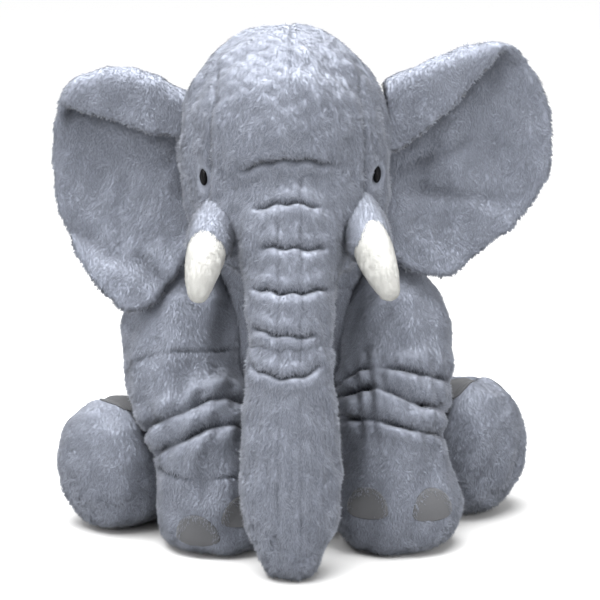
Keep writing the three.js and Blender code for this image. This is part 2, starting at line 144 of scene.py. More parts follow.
# ---- The front legs. Each is a tube of soft grey plush, stuffed with fibre, sewn to the shoulder
# and creased in deep folds where it bends down to the foot. The pile is short and lies in clumps.
FRONT_LEFT = [
    (-122, -3, 234, 69, 68),
    (-120, -42, 182, 66, 64),
    (-103, -74, 142, 59, 60),
    (-90, -88, 98, 59, 60),
    (-80, -91, 46, 70, 66),
    (-79, -90, 16, 66, 62),
]
FRONT_RIGHT = [
    (114, -3, 230, 67, 68),
    (117, -42, 182, 64, 64),
    (112, -74, 142, 57, 60),
    (113, -84, 98, 59, 62),
    (117, -88, 46, 74, 68),
    (117, -87, 16, 64, 62),
]
CELL = 5.0 * MM  # of the cloth that is blown up with filling
SWELL_FRAMES = 20
SWELL_PRESSURE = 4.0
WAVES = 7  # that make up one random field
CLEAR_OF_FLOOR = 1.2 * MM


def smooth_rows(rows, count):
    """count rows along a smooth line through the given rows."""
    rows = np.array(rows, float)
    stops = np.arange(len(rows))
    steps = np.linspace(0, len(rows) - 1, count)
    row = np.minimum(steps.astype(int), len(rows) - 2)
    t = (steps - row)[:, None]
    before, here = rows[np.maximum(row - 1, 0)], rows[row]
    there, beyond = rows[row + 1], rows[np.minimum(row + 2, stops[-1])]
    bend = 2 * here + (there - before) * t + (2 * before - 5 * here + 4 * there - beyond) * t**2
    return 0.5 * (bend + (3 * here - before - 3 * there + beyond) * t**3)


def soft_tube(shape, rows, domes=(1, 1), count=14, around=24, across=(1, 0, 0)):
    """Adds to shape a closed tube through rows of (x, y, z, half width, half depth) in mm."""
    rows = smooth_rows(rows, count)
    middles = [place(*row[:3]) for row in rows]
    rings = []
    for k, row in enumerate(rows):
        along = (middles[min(k + 1, count - 1)] - middles[max(k - 1, 0)]).normalized()
        rings.append((middles[k], along, row[3] * MM, row[4] * MM))
    first, last = rings[0], rings[-1]
    start, end = [], []
    for angle in (8, 32, 58):
        out, rim = math.cos(math.radians(angle)), math.sin(math.radians(angle))
        back = first[0] - first[1] * (first[2] * domes[0] * out)
        ahead = last[0] + last[1] * (last[2] * domes[1] * out)
        start.append((back, first[1], first[2] * rim, first[3] * rim))
        end.insert(0, (ahead, last[1], last[2] * rim, last[3] * rim))
    loops = []
    for middle, along, half_width, half_depth in start + rings + end:
        depth = Vector(across).cross(along).normalized()
        side = along.cross(depth)
        turn = Matrix((side * half_width, depth * half_depth, along)).transposed()
        where = Matrix.Translation(middle) @ turn.to_4x4()
        ring = bmesh.ops.create_circle(shape, segments=around, radius=1, matrix=where)
        loops.append(ring["verts"])
    for loop, following in zip(loops, loops[1:]):
        edges = {e for v in loop for e in v.link_edges if e.other_vert(v) in loop}
        edges |= {e for v in following for e in v.link_edges if e.other_vert(v) in following}
        bmesh.ops.bridge_loops(shape, edges=list(edges))
    for loop in (loops[0], loops[-1]):
        bmesh.ops.contextual_create(shape, geom=loop)
    bmesh.ops.recalc_face_normals(shape, faces=shape.faces)


def soft_ball(shape, middle, radii):
    """Adds to shape a round cushion with a middle and three half widths in mm."""
    size = Matrix.Diagonal((*(radius * MM for radius in radii), 1))
    where = Matrix.Translation(place(*middle)) @ size
    bmesh.ops.create_uvsphere(shape, u_segments=28, v_segments=18, radius=1, matrix=where)


def to_object(shape, name):
    mesh = bpy.data.meshes.new(name)
    shape.to_mesh(mesh)
    shape.free()
    piece = bpy.data.objects.new(name, mesh)
    bpy.context.scene.collection.objects.link(piece)
    return piece


def apply_all(piece):
    """Fixes the piece's modifiers into its mesh."""
    view = bpy.context.evaluated_depsgraph_get()
    mesh = bpy.data.meshes.new_from_object(piece.evaluated_get(view))
    piece.modifiers.clear()
    old = piece.data
    piece.data = mesh
    bpy.data.meshes.remove(old)
    mesh.name = piece.name


def points_of(piece):
    flat = np.zeros(len(piece.data.vertices) * 3, np.float32)
    piece.data.vertices.foreach_get("co", flat)
    return flat.reshape(-1, 3).astype(float)


def normals_of(piece):
    flat = np.zeros(len(piece.data.vertices) * 3, np.float32)
    piece.data.vertices.foreach_get("normal", flat)
    return flat.reshape(-1, 3).astype(float)


def move_points(piece, points):
    piece.data.vertices.foreach_set("co", points.astype(np.float32).ravel())
    piece.data.update()


def remesh(piece, cell=CELL, smooth=4):
    """One even closed skin round everything in the piece."""
    skin = piece.modifiers.new("skin", "REMESH")
    skin.mode = "VOXEL"
    skin.voxel_size = cell
    ease = piece.modifiers.new("ease", "SMOOTH")
    ease.factor = 0.5
    ease.iterations = smooth
    apply_all(piece)


def swell(piece, most):
    """Blows the cloth up with filling, and lets no point move further than most, in metres."""
    before = points_of(piece)
    cloth = piece.modifiers.new("cloth", "CLOTH")
    cloth.settings.use_pressure = True
    cloth.settings.uniform_pressure_force = SWELL_PRESSURE
    cloth.settings.effector_weights.gravity = 0
    cloth.settings.quality = 4
    cloth.collision_settings.use_collision = False
    cloth.point_cache.frame_start = 1
    cloth.point_cache.frame_end = SWELL_FRAMES
    for step in range(1, SWELL_FRAMES + 1):
        bpy.context.scene.frame_set(step)
    view = bpy.context.evaluated_depsgraph_get()
    blown = piece.evaluated_get(view).to_mesh()
    flat = np.zeros(len(blown.vertices) * 3, np.float32)
    blown.vertices.foreach_get("co", flat)
    piece.modifiers.clear()
    shift = flat.reshape(-1, 3) - before
    length = np.linalg.norm(shift, axis=1, keepdims=True)
    move_points(piece, before + shift * np.minimum(1, most / np.maximum(length, 1e-9)))
    bpy.context.scene.frame_set(1)


def ripple(points, size, seed):
    """A smooth random field between about -1 and 1 with bumps of a size in metres."""
    dice = np.random.default_rng(seed)
    total = np.zeros(len(points))
    for _ in range(WAVES):
        way = dice.normal(size=3)
        way *= (0.7 + 0.6 * dice.random()) * 2 * math.pi / (size * np.linalg.norm(way))
        total += np.sin(points @ way + dice.random() * 2 * math.pi)
    return total / math.sqrt(WAVES)


def groove(distance, width):
    """The section of a sewn or pressed crease: a sharp valley between two soft swellings."""
    near = np.abs(distance) / width
    return -np.exp(-((near / 0.6) ** 2)) + 0.3 * np.exp(-(((near - 2.2) / 1.3) ** 2))


def ramp(values, low, high):
    """0 below low, 1 above high and smooth between."""
    share = np.clip((values - low) / (high - low), 0, 1)
    return share * share * (3 - 2 * share)


def refine(piece):
    finer = piece.modifiers.new("finer", "SUBSURF")
    finer.levels = 1
    finer.render_levels = 1
    apply_all(piece)


def rest_on_floor(piece):
    """Presses what would reach below the floor flat, just clear of it."""
    points = points_of(piece)
    low = points[:, 2] < CLEAR_OF_FLOOR
    points[low, 2] = CLEAR_OF_FLOOR - 0.02 * (CLEAR_OF_FLOOR - points[low, 2])
    move_points(piece, points)


# The plush: a skin with thousands of small leaning locks of pile, with painted shade that makes them darker
# at their roots. On what faces up the colour is painted paler all through, as painted light that gets down to
# the roots.
SHADED_ROOT_COLOUR = (0.105, 0.115, 0.142, 1)
TIP_COLOUR = (0.188, 0.203, 0.242, 1)
PALE_COLOUR = (0.222, 0.239, 0.28, 1)
NAP_SOFTNESS = 0.74  # how far a lock is lit as the cloth under it, not as a spike
CREASE_SHADE = 0.4  # painted shade deep in a crease, as a share of the roots' colour
SHEEN = 0.16


def pile_finish(name, root, tip, pale):
    finish = bpy.data.materials.new(name)
    finish.use_nodes = True
    tree = finish.node_tree
    surface = tree.nodes["Principled BSDF"]
    surface.inputs["Sheen Weight"].default_value = SHEEN
    surface.inputs["Sheen Roughness"].default_value = 0.45
    surface.inputs["Specular IOR Level"].default_value = 0.12
    where = tree.nodes.new("ShaderNodeTexCoord")
    patches = tree.nodes.new("ShaderNodeTexNoise")
    patches.inputs["Scale"].default_value = 38
    patches.inputs["Detail"].default_value = 3
    patches.inputs["Roughness"].default_value = 0.65
    tree.links.new(where.outputs["Object"], patches.inputs["Vector"])
    strands = tree.nodes.new("ShaderNodeTexNoise")
    strands.inputs["Scale"].default_value = 420
    strands.inputs["Detail"].default_value = 2
    tree.links.new(where.outputs["Object"], strands.inputs["Vector"])
    # Painted shade: each lock's colour goes from the darker root up to the paler tip.
    height = tree.nodes.new("ShaderNodeAttribute")
    height.attribute_name = "tip"
    body = tree.nodes.new("ShaderNodeMix")
    body.data_type = "RGBA"
    body.inputs["A"].default_value = root
    body.inputs["B"].default_value = tip
    rise = tree.nodes.new("ShaderNodeMapRange")
    rise.inputs["From Min"].default_value = -0.1
    rise.inputs["From Max"].default_value = 0.75
    tree.links.new(height.outputs["Fac"], rise.inputs["Value"])
    # Painted light: where the cloth faces up, the colour is raised towards the tips' colour all through the
    # pile.
    nap = tree.nodes.new("ShaderNodeAttribute")
    nap.attribute_name = "nap"
    upward = tree.nodes.new("ShaderNodeSeparateXYZ")
    tree.links.new(nap.outputs["Vector"], upward.inputs["Vector"])
    crown = tree.nodes.new("ShaderNodeMapRange")
    crown.inputs["From Min"].default_value = 0.3
    crown.inputs["From Max"].default_value = 0.85
    crown.inputs["To Max"].default_value = 0.7
    tree.links.new(upward.outputs["Z"], crown.inputs["Value"])
    tip_share_with_top_light = tree.nodes.new("ShaderNodeMath")
    tip_share_with_top_light.operation = "MAXIMUM"
    tree.links.new(rise.outputs["Result"], tip_share_with_top_light.inputs[0])
    tree.links.new(crown.outputs["Result"], tip_share_with_top_light.inputs[1])
    tree.links.new(tip_share_with_top_light.outputs["Value"], body.inputs["Factor"])
    # Random pale patches, shown most on the tips and, with the painted light, on what faces up.
    lift = tree.nodes.new("ShaderNodeMath")
    lift.operation = "MULTIPLY"
    tree.links.new(patches.outputs["Fac"], lift.inputs[0])
    tree.links.new(strands.outputs["Fac"], lift.inputs[1])
    contrast = tree.nodes.new("ShaderNodeMapRange")
    contrast.inputs["From Min"].default_value = 0.16
    contrast.inputs["From Max"].default_value = 0.42
    tree.links.new(lift.outputs["Value"], contrast.inputs["Value"])
    lit = tree.nodes.new("ShaderNodeMath")
    lit.operation = "MULTIPLY"
    tree.links.new(contrast.outputs["Result"], lit.inputs[0])
    tree.links.new(tip_share_with_top_light.outputs["Value"], lit.inputs[1])
    colour = tree.nodes.new("ShaderNodeMix")
    colour.data_type = "RGBA"
    colour.inputs["B"].default_value = pale
    tree.links.new(lit.outputs["Value"], colour.inputs["Factor"])
    tree.links.new(body.outputs["Result"], colour.inputs["A"])
    # Painted shade: in creases, seams and dents the colour is mixed towards a darker share of the roots'
    # colour.
    crease = tree.nodes.new("ShaderNodeAttribute")
    crease.attribute_name = "painted_shade"
    painted_crease_shade = tree.nodes.new("ShaderNodeMix")
    painted_crease_shade.data_type = "RGBA"
    painted_crease_shade.inputs["B"].default_value = [channel * CREASE_SHADE for channel in root[:3]] + [1]
    tree.links.new(crease.outputs["Fac"], painted_crease_shade.inputs["Factor"])
    tree.links.new(colour.outputs["Result"], painted_crease_shade.inputs["A"])
    tree.links.new(painted_crease_shade.outputs["Result"], surface.inputs["Base Color"])
    turned = tree.nodes.new("ShaderNodeVectorTransform")
    turned.vector_type = "NORMAL"
    turned.convert_from = "OBJECT"
    turned.convert_to = "WORLD"
    own = tree.nodes.new("ShaderNodeNewGeometry")
    soft = tree.nodes.new("ShaderNodeMix")
    soft.data_type = "VECTOR"
    soft.inputs["Factor"].default_value = NAP_SOFTNESS
    even = tree.nodes.new("ShaderNodeVectorMath")
    even.operation = "NORMALIZE"
    tree.links.new(nap.outputs["Vector"], turned.inputs["Vector"])
    tree.links.new(own.outputs["Normal"], soft.inputs["A"])
    tree.links.new(turned.outputs["Vector"], soft.inputs["B"])
    tree.links.new(soft.outputs["Result"], even.inputs[0])
    tree.links.new(even.outputs["Vector"], surface.inputs["Normal"])
    rough = tree.nodes.new("ShaderNodeMapRange")
    rough.inputs["To Min"].default_value = 0.86
    rough.inputs["To Max"].default_value = 0.98
    tree.links.new(patches.outputs["Fac"], rough.inputs["Value"])
    tree.links.new(rough.outputs["Result"], surface.inputs["Roughness"])
    return finish


plush = pile_finish("grey_plush", SHADED_ROOT_COLOUR, TIP_COLOUR, PALE_COLOUR)


def lock_planter(name, per_metre, length, width, seed):
    """Geometry nodes that plant locks of pile on a skin, along its comb and by its cover."""
    tree = bpy.data.node_groups.new(name, "GeometryNodeTree")
    tree.interface.new_socket("Geometry", in_out="INPUT", socket_type="NodeSocketGeometry")
    tree.interface.new_socket("Geometry", in_out="OUTPUT", socket_type="NodeSocketGeometry")
    nodes, links = tree.nodes, tree.links
    skin = nodes.new("NodeGroupInput")
    done = nodes.new("NodeGroupOutput")
    cover = nodes.new("GeometryNodeInputNamedAttribute")
    cover.data_type = "FLOAT"
    cover.inputs["Name"].default_value = "cover"
    dense = nodes.new("ShaderNodeMath")
    dense.operation = "MULTIPLY"
    dense.inputs[1].default_value = per_metre
    links.new(cover.outputs["Attribute"], dense.inputs[0])
    spread = nodes.new("GeometryNodeDistributePointsOnFaces")
    spread.inputs["Seed"].default_value = seed
    links.new(skin.outputs["Geometry"], spread.inputs["Mesh"])
    links.new(dense.outputs["Value"], spread.inputs["Density"])
    comb = nodes.new("GeometryNodeInputNamedAttribute")
    comb.data_type = "FLOAT_VECTOR"
    comb.inputs["Name"].default_value = "comb"
    stray = nodes.new("FunctionNodeRandomValue")
    stray.data_type = "FLOAT_VECTOR"
    stray.inputs["Min"].default_value = (-0.32, -0.32, -0.32)
    stray.inputs["Max"].default_value = (0.32, 0.32, 0.32)
    stray.inputs["Seed"].default_value = seed + 1
    lean = nodes.new("ShaderNodeVectorMath")
    lean.operation = "ADD"
    links.new(comb.outputs["Attribute"], lean.inputs[0])
    links.new(stray.outputs["Value"], lean.inputs[1])
    stand = nodes.new("FunctionNodeAlignRotationToVector")
    stand.axis = "Z"
    links.new(lean.outputs["Vector"], stand.inputs["Vector"])
    flat = nodes.new("FunctionNodeAlignRotationToVector")
    flat.axis = "Y"
    flat.pivot_axis = "Z"
    links.new(stand.outputs["Rotation"], flat.inputs["Rotation"])
    links.new(spread.outputs["Normal"], flat.inputs["Vector"])
    lock = nodes.new("GeometryNodeMeshCone")
    lock.fill_type = "NONE"
    lock.inputs["Vertices"].default_value = 3
    lock.inputs["Radius Top"].default_value = 0
    lock.inputs["Radius Bottom"].default_value = width
    lock.inputs["Depth"].default_value = length
    height = nodes.new("GeometryNodeInputPosition")
    split = nodes.new("ShaderNodeSeparateXYZ")
    links.new(height.outputs["Position"], split.inputs["Vector"])
    share = nodes.new("ShaderNodeMath")
    share.operation = "DIVIDE"
    share.inputs[1].default_value = length
    links.new(split.outputs["Z"], share.inputs[0])
    tip = nodes.new("GeometryNodeStoreNamedAttribute")
    tip.data_type = "FLOAT"
    tip.domain = "POINT"
    tip.inputs["Name"].default_value = "tip"
    links.new(lock.outputs["Mesh"], tip.inputs["Geometry"])
    links.new(share.outputs["Value"], tip.inputs["Value"])
    sizes = nodes.new("FunctionNodeRandomValue")
    sizes.data_type = "FLOAT_VECTOR"
    sizes.inputs["Min"].default_value = (0.7, 0.35, 0.7)
    sizes.inputs["Max"].default_value = (1.3, 0.6, 1.25)
    sizes.inputs["Seed"].default_value = seed + 2
    reach = nodes.new("GeometryNodeInputNamedAttribute")
    reach.data_type = "FLOAT"
    reach.inputs["Name"].default_value = "reach"
    grown = nodes.new("ShaderNodeVectorMath")
    grown.operation = "SCALE"
    links.new(sizes.outputs["Value"], grown.inputs[0])
    links.new(reach.outputs["Attribute"], grown.inputs["Scale"])
    planted = nodes.new("GeometryNodeInstanceOnPoints")
    links.new(spread.outputs["Points"], planted.inputs["Points"])
    links.new(tip.outputs["Geometry"], planted.inputs["Instance"])
    links.new(flat.outputs["Rotation"], planted.inputs["Rotation"])
    links.new(grown.outputs["Vector"], planted.inputs["Scale"])
    real = nodes.new("GeometryNodeRealizeInstances")
    links.new(planted.outputs["Instances"], real.inputs["Geometry"])
    joined = nodes.new("GeometryNodeJoinGeometry")
    links.new(skin.outputs["Geometry"], joined.inputs["Geometry"])
    links.new(real.outputs["Geometry"], joined.inputs["Geometry"])
    links.new(joined.outputs["Geometry"], done.inputs["Geometry"])
    return tree


LOCKS_PER_METRE = 380000
LOCK_LENGTH = 5.4 * MM
LOCK_WIDTH = 0.8 * MM
long_pile = lock_planter("long_pile", LOCKS_PER_METRE, LOCK_LENGTH, LOCK_WIDTH, 3)
DOWN = np.array((0, -0.15, -1.0))
PILE_RISE = 0.62  # how far a lock stands up from the cloth, for each part that it lies down
CLUMP = 6 * MM
SWIRL = 26 * MM
CROWN_LAY = 0.9  # how far the pile on top lies outwards, away from the crown
LONGEST_LOCK = 1.3 * LOCK_LENGTH
SKIN_TIP = 0.15  # the skin is coloured as a lock is this far up, so it takes much of the roots' painted shade


def note_on_points(piece, name, values):
    """Keeps one number or one direction for each point of the piece."""
    kind, entry = ("FLOAT", "value") if values.ndim == 1 else ("FLOAT_VECTOR", "vector")
    kept = piece.data.attributes.new(name, kind, "POINT")
    kept.data.foreach_set(entry, values.astype(np.float32).ravel())


def grow_pile(
    piece, finish, planter, lay=DOWN, rise=PILE_RISE, clump=CLUMP, swirl=SWIRL, bare=0.0, shade=0.0, short=0.0
):
    """Covers a skin with locks that lie along a direction, in clumps and swirls. bare is 1 where there is no
    pile, shade is 1 where painted shade darkens the pile's colour most, in a crease, a seam or a dent, and
    short is how much of its length it lacks."""
    points, normals = points_of(piece), normals_of(piece)
    on_top = ramp(normals[:, 2], 0.2, 0.8)
    flow = lay + CROWN_LAY * normals * (1, 1, 0)
    for axis in range(3):
        flow[:, axis] += 0.5 * ripple(points, swirl, 11 + axis)
        flow[:, axis] += 0.75 * ripple(points, clump, 21 + axis) * (1 - 0.6 * on_top)
    flow -= normals * np.sum(flow * normals, axis=1, keepdims=True)
    flow /= np.maximum(np.linalg.norm(flow, axis=1, keepdims=True), 1e-6)
    stand = (rise + 0.2 * ripple(points, clump, 31)) * (1 - 0.6 * on_top)
    comb = flow + normals * np.maximum(stand, 0.15)[:, None]
    comb /= np.linalg.norm(comb, axis=1, keepdims=True)
    comb[:, 2] = np.maximum(comb[:, 2], (MM - points[:, 2]) / LONGEST_LOCK)  # clear of the floor
    cover = np.ones(len(points))
    cover *= 1 - ramp(-normals[:, 2], 0.6, 0.9) * (points[:, 2] < 4 * MM)
    cover *= 1 - bare
    note_on_points(piece, "painted_shade", np.zeros(len(points)) + np.clip(shade, 0, 1))
    note_on_points(piece, "nap", normals)
    note_on_points(piece, "comb", comb)
    note_on_points(piece, "cover", cover)
    note_on_points(piece, "reach", (1 - short) * (1 - 0.25 * on_top))
    note_on_points(piece, "tip", np.full(len(points), SKIN_TIP))
    planting = piece.modifiers.new("pile", "NODES")
    planting.node_group = planter
    apply_all(piece)
    piece.data.materials.clear()
    piece.data.materials.append(finish)
    piece.data.polygons.foreach_set("material_index", np.zeros(len(piece.data.polygons), np.int32))
    piece.data.polygons.foreach_set("use_smooth", np.ones(len(piece.data.polygons), bool))
    for extra in ("comb", "cover", "reach"):
        if extra in piece.data.attributes:
            piece.data.attributes.remove(piece.data.attributes[extra])
    piece.data.update()


# Each fold is a point of its valley, the way that it faces along the leg, its depth and its width.
LEG_FOLDS = {
    "front_left": [
        ((-100, -120, 163), (0.32, -0.42, -1), 12, 7),
        ((-98, -128, 136), (0.34, -0.3, -1), 9, 6),
        ((-100, -110, 236), (0.15, -0.5, -1), 1.5, 6),
        ((-130, -110, 96), (-0.2, -0.2, -1), 1.5, 4),
    ],
    "front_right": [
        ((112, -118, 210), (0.03, -0.5, -1), 8, 6.5),
        ((108, -126, 184), (-0.1, -0.42, -1), 12, 7),
        ((104, -130, 150), (-0.16, -0.3, -1), 9, 6),
    ],
}
RUMPLE_REACH = 26 * MM  # how far from a fold the plush is rumpled
PLEAT = 2.6 * MM


def crease(points, normals, distance, depth, width, where):
    """Presses a crease into the points and gives the painted shade for the pile's colour along it."""
    points += normals * (groove(distance, width) * depth * where)[:, None]
    return np.exp(-((distance / (0.45 * width)) ** 2)) * where


def fold_leg(piece, folds, seed):
    """Presses its folds into a leg, with small pleats by them, and gives the painted shade for the pile's
    colour in them.
    """
    points, normals = points_of(piece), normals_of(piece)
    wander = 5 * MM * ripple(points, 90 * MM, seed)
    painted_shade, rumpled = np.zeros(len(points)), np.zeros(len(points))
    for middle, facing, depth, width in folds:
        way = np.array(facing) / np.linalg.norm(facing)
        distance = (points - np.array(place(*middle))) @ way + wander
        uneven = (0.75 + 0.45 * ripple(points, 50 * MM, seed + 2)).clip(0.1, 1.2)
        front = ramp(-normals[:, 1], -0.35, 0.5) * uneven
        rumpled = np.maximum(rumpled, np.exp(-((distance / RUMPLE_REACH) ** 2)) * depth / 12)
        painted_shade = np.maximum(painted_shade, crease(points, normals, distance, depth * MM, width * MM, front))
    pleats = ripple(points * (1.6, 1, 0.7), 30 * MM, seed + 3) * rumpled
    points += normals * (1.8 * MM * ripple(points, 44 * MM, seed + 1) + PLEAT * pleats)[:, None]
    move_points(piece, points)
    return painted_shade


# Toenails: smooth grey felt, cut as a D with its flat side to the sole, laid on the bare foot. The
# pile round one comes up over its edge.
FELT_THICK = 1.6 * MM
NAIL_WIDE = 25
NAIL_HIGH = 27
felt = bpy.data.materials.new("grey_felt")
felt.use_nodes = True
felt_surface = felt.node_tree.nodes["Principled BSDF"]
felt_surface.inputs["Roughness"].default_value = 0.95
felt_surface.inputs["Specular IOR Level"].default_value = 0.1
felt_surface.inputs["Sheen Weight"].default_value = 0.1
felt_place = felt.node_tree.nodes.new("ShaderNodeTexCoord")
felt_fibre = felt.node_tree.nodes.new("ShaderNodeTexNoise")
felt_fibre.inputs["Scale"].default_value = 900
felt_fibre.inputs["Detail"].default_value = 3
felt_colour = felt.node_tree.nodes.new("ShaderNodeMix")
felt_colour.data_type = "RGBA"
felt_colour.inputs["A"].default_value = (0.048, 0.049, 0.052, 1)
felt_colour.inputs["B"].default_value = (0.066, 0.067, 0.071, 1)
felt.node_tree.links.new(felt_place.outputs["Object"], felt_fibre.inputs["Vector"])
felt.node_tree.links.new(felt_fibre.outputs["Fac"], felt_colour.inputs["Factor"])
felt.node_tree.links.new(felt_colour.outputs["Result"], felt_surface.inputs["Base Color"])


def sew_nails(foot, nodes, body, spine, up, onward=(0, 0)):
    """Lays a felt toenail on the foot at each CAD toenail, moved some mm onward to the sole, and
    gives where they keep it bare."""
    tree = BVHTree.FromObject(foot, bpy.context.evaluated_depsgraph_get())
    points = points_of(foot)
    bare = np.zeros(len(points))
    for node, forward in zip(nodes, onward):
        low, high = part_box(node)
        middle = (low + high) / 2 - up * forward * MM
        axis = (spine[1] - spine[0]).normalized()
        outward = middle - spine[0]
        outward = (outward - axis * outward.dot(axis)).normalized()
        side = up.cross(outward).normalized()
        rise = outward.cross(side)
        patch = bmesh.new()
        bmesh.ops.create_grid(patch, x_segments=14, y_segments=14, size=1)
        for v in patch.verts:
            u, w = v.co.x, v.co.y
            u, w = u * math.sqrt(1 - w * w / 2), w * math.sqrt(1 - u * u / 2)
            w = w if w > 0 else w * 0.3
            spot = middle + side * (u * NAIL_WIDE * MM) + rise * ((w - 0.3) * NAIL_HIGH * MM)
            hit, normal = tree.ray_cast(spot + outward * 0.05, -outward)[:2]
            v.co = hit + normal * 0.2 * MM if hit else spot
        bmesh.ops.smooth_vert(patch, verts=patch.verts, factor=0.5)
        bmesh.ops.recalc_face_normals(patch, faces=patch.faces)
        nail = to_object(patch, f"felt_{node}")
        if nail.data.polygons[100].normal.dot(outward) < 0:
            nail.data.flip_normals()
        thick = nail.modifiers.new("thick", "SOLIDIFY")
        thick.thickness = FELT_THICK
        thick.offset = 1
        apply_all(nail)
        nail.data.materials.append(felt)
        nail.data.shade_smooth()
        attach(nail, body)
        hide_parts(node)
        away = points - np.array(middle)
        across, above = away @ np.array(side) / MM, away @ np.array(rise) / MM + 0.3 * NAIL_HIGH
        reach = np.where(above > 0, NAIL_HIGH, 0.3 * NAIL_HIGH)
        inside = (across / NAIL_WIDE) ** 2 + (above / reach) ** 2
        bare = np.maximum(bare, (1 - ramp(inside, 0.5, 0.78)) * (away @ np.array(outward) > -0.03))
    return bare


for name, rows in (("front_left", FRONT_LEFT), ("front_right", FRONT_RIGHT)):
    shape = bmesh.new()
    soft_tube(shape, rows, domes=(1.2, 0.25))
    leg = to_object(shape, f"plush_{name}_leg")
    remesh(leg)
    swell(leg, 5 * MM)
    refine(leg)
    painted_shade = fold_leg(leg, LEG_FOLDS[name], 40 if name == "front_left" else 50)
    rest_on_floor(leg)
    body = f"leg_{name}"
    spine = [place(*rows[-1][:3]), place(*rows[-1][:2], 90)]
    nodes = [f"toenail_{name}_1", f"toenail_{name}_2"]
    bare = sew_nails(leg, nodes, body, spine, Vector((0, 0, 1)))
    grow_pile(leg, plush, long_pile, bare=bare, shade=painted_shade)
    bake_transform(leg)
    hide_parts(f"{body}_stuffing", f"{body}_left_panel", f"{body}_right_panel", f"{body}_sole")


# ---- The hind legs. They stick out forwards and sideways from the seat as the toy sits, short fat
# tubes that end in a full round sole, with a seam over its upper rim and two toenails beyond it.
HIND_LEFT = [
    (-80, 88, 72, 62, 62),
    (-132, 46, 70, 65, 62),
    (-182, 6, 74, 73, 69),
    (-209, -19, 74, 76, 72),
]
HIND_RIGHT = [
    (80, 90, 72, 62, 62),
    (128, 84, 72, 66, 64),
    (178, 68, 79, 76, 72),
    (216, 44, 79, 80, 77),
]
NAILS_ONWARD = {"hind_left": (24, 11), "hind_right": (11, 24)}
for name, rows in (("hind_left", HIND_LEFT), ("hind_right", HIND_RIGHT)):
    shape = bmesh.new()
    soft_tube(shape, rows, domes=(0.9, 0.65), across=(0, 0, 1))
    leg = to_object(shape, f"plush_{name}_leg")
    remesh(leg)
    swell(leg, 4 * MM)
    refine(leg)
    points, normals = points_of(leg), normals_of(leg)
    start, end = np.array(place(*rows[-2][:3])), np.array(place(*rows[-1][:3]))
    way = (end - start) / np.linalg.norm(end - start)
    distance = (points - end) @ way + 8 * MM + 1.5 * MM * ripple(points, 60 * MM, 61)
    # A crease by the sole and one at the thigh are pressed in, with painted shade along them.
    painted_shade = crease(points, normals, distance, 2.6 * MM, 4.5 * MM, ramp(normals[:, 2], 0.1, 0.6))
    thigh = (points - end) @ way + 62 * MM + 5 * MM * ripple(points, 80 * MM, 62)
    top = ramp(normals[:, 2], -0.4, 0.3)
    painted_shade = np.maximum(painted_shade, 0.7 * crease(points, normals, thigh, 5 * MM, 8 * MM, top))
    points += normals * (1.6 * MM * ripple(points, 40 * MM, 63))[:, None]
    move_points(leg, points)
    rest_on_floor(leg)
    body = f"leg_{name}"
    spine = [Vector(start), Vector(end)]
    nodes = [f"toenail_{name}_1", f"toenail_{name}_2"]
    bare = sew_nails(leg, nodes, body, spine, -Vector(way), onward=NAILS_ONWARD[name])
    grow_pile(leg, plush, long_pile, bare=bare, shade=0.7 * painted_shade)
    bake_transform(leg)
    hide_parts(f"{body}_stuffing", f"{body}_upper_panel", f"{body}_lower_panel", f"{body}_sole")


# ---- The body: one big pear of plush over its filling, sewn from two sides, a belly and a flat
# panel that it sits on, with a seam down each side of the belly.
TORSO = [
    (0, 52, 20, 118, 112),
    (0, 50, 70, 134, 126),
    (0, 42, 145, 128, 118),
    (0, 26, 215, 112, 94),
    (0, 16, 270, 90, 64),
]
BELLY_HALF = 70 * MM
shape = bmesh.new()
soft_tube(shape, TORSO, domes=(0.16, 0.5), around=36)
torso = to_object(shape, "plush_body")
remesh(torso, 6 * MM)
swell(torso, 5 * MM)
refine(torso)
points, normals = points_of(torso), normals_of(torso)
# The belly's side seams and the back seam are pressed in, with painted shade along them.
seam = np.abs(points[:, 0] - drawing.x) - BELLY_HALF
painted_shade = crease(points, normals, seam, 1.6 * MM, 4 * MM, ramp(-normals[:, 1], 0, 0.3))
back = crease(points, normals, points[:, 0] - drawing.x, 1.6 * MM, 4 * MM, ramp(normals[:, 1], 0, 0.3))
points += normals * (2.2 * MM * ripple(points, 60 * MM, 71))[:, None]
move_points(torso, points)
rest_on_floor(torso)
grow_pile(torso, plush, long_pile, shade=0.5 * np.maximum(painted_shade, back))
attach(torso, "torso")
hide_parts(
    "torso_stuffing",
    "torso_belly_panel",
    "torso_left_panel",
    "torso_right_panel",
    "torso_base_panel",
)


# ---- The neck: a short stuffed plug of the same plush between the body and the head. It lets the
# head turn a little, and the ears and the head hide most of it.
NECK = [(0, 24, 262, 84, 64), (0, 12, 300, 84, 62), (0, 0, 345, 80, 68)]
shape = bmesh.new()
soft_tube(shape, NECK, domes=(0.2, 0.2))
neck = to_object(shape, "plush_neck")
remesh(neck)
refine(neck)
points, normals = points_of(neck), normals_of(neck)
points += normals * (1.6 * MM * ripple(points, 45 * MM, 75))[:, None]
move_points(neck, points)
grow_pile(neck, plush, long_pile)
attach(neck, "neck")
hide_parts("neck_stuffing")


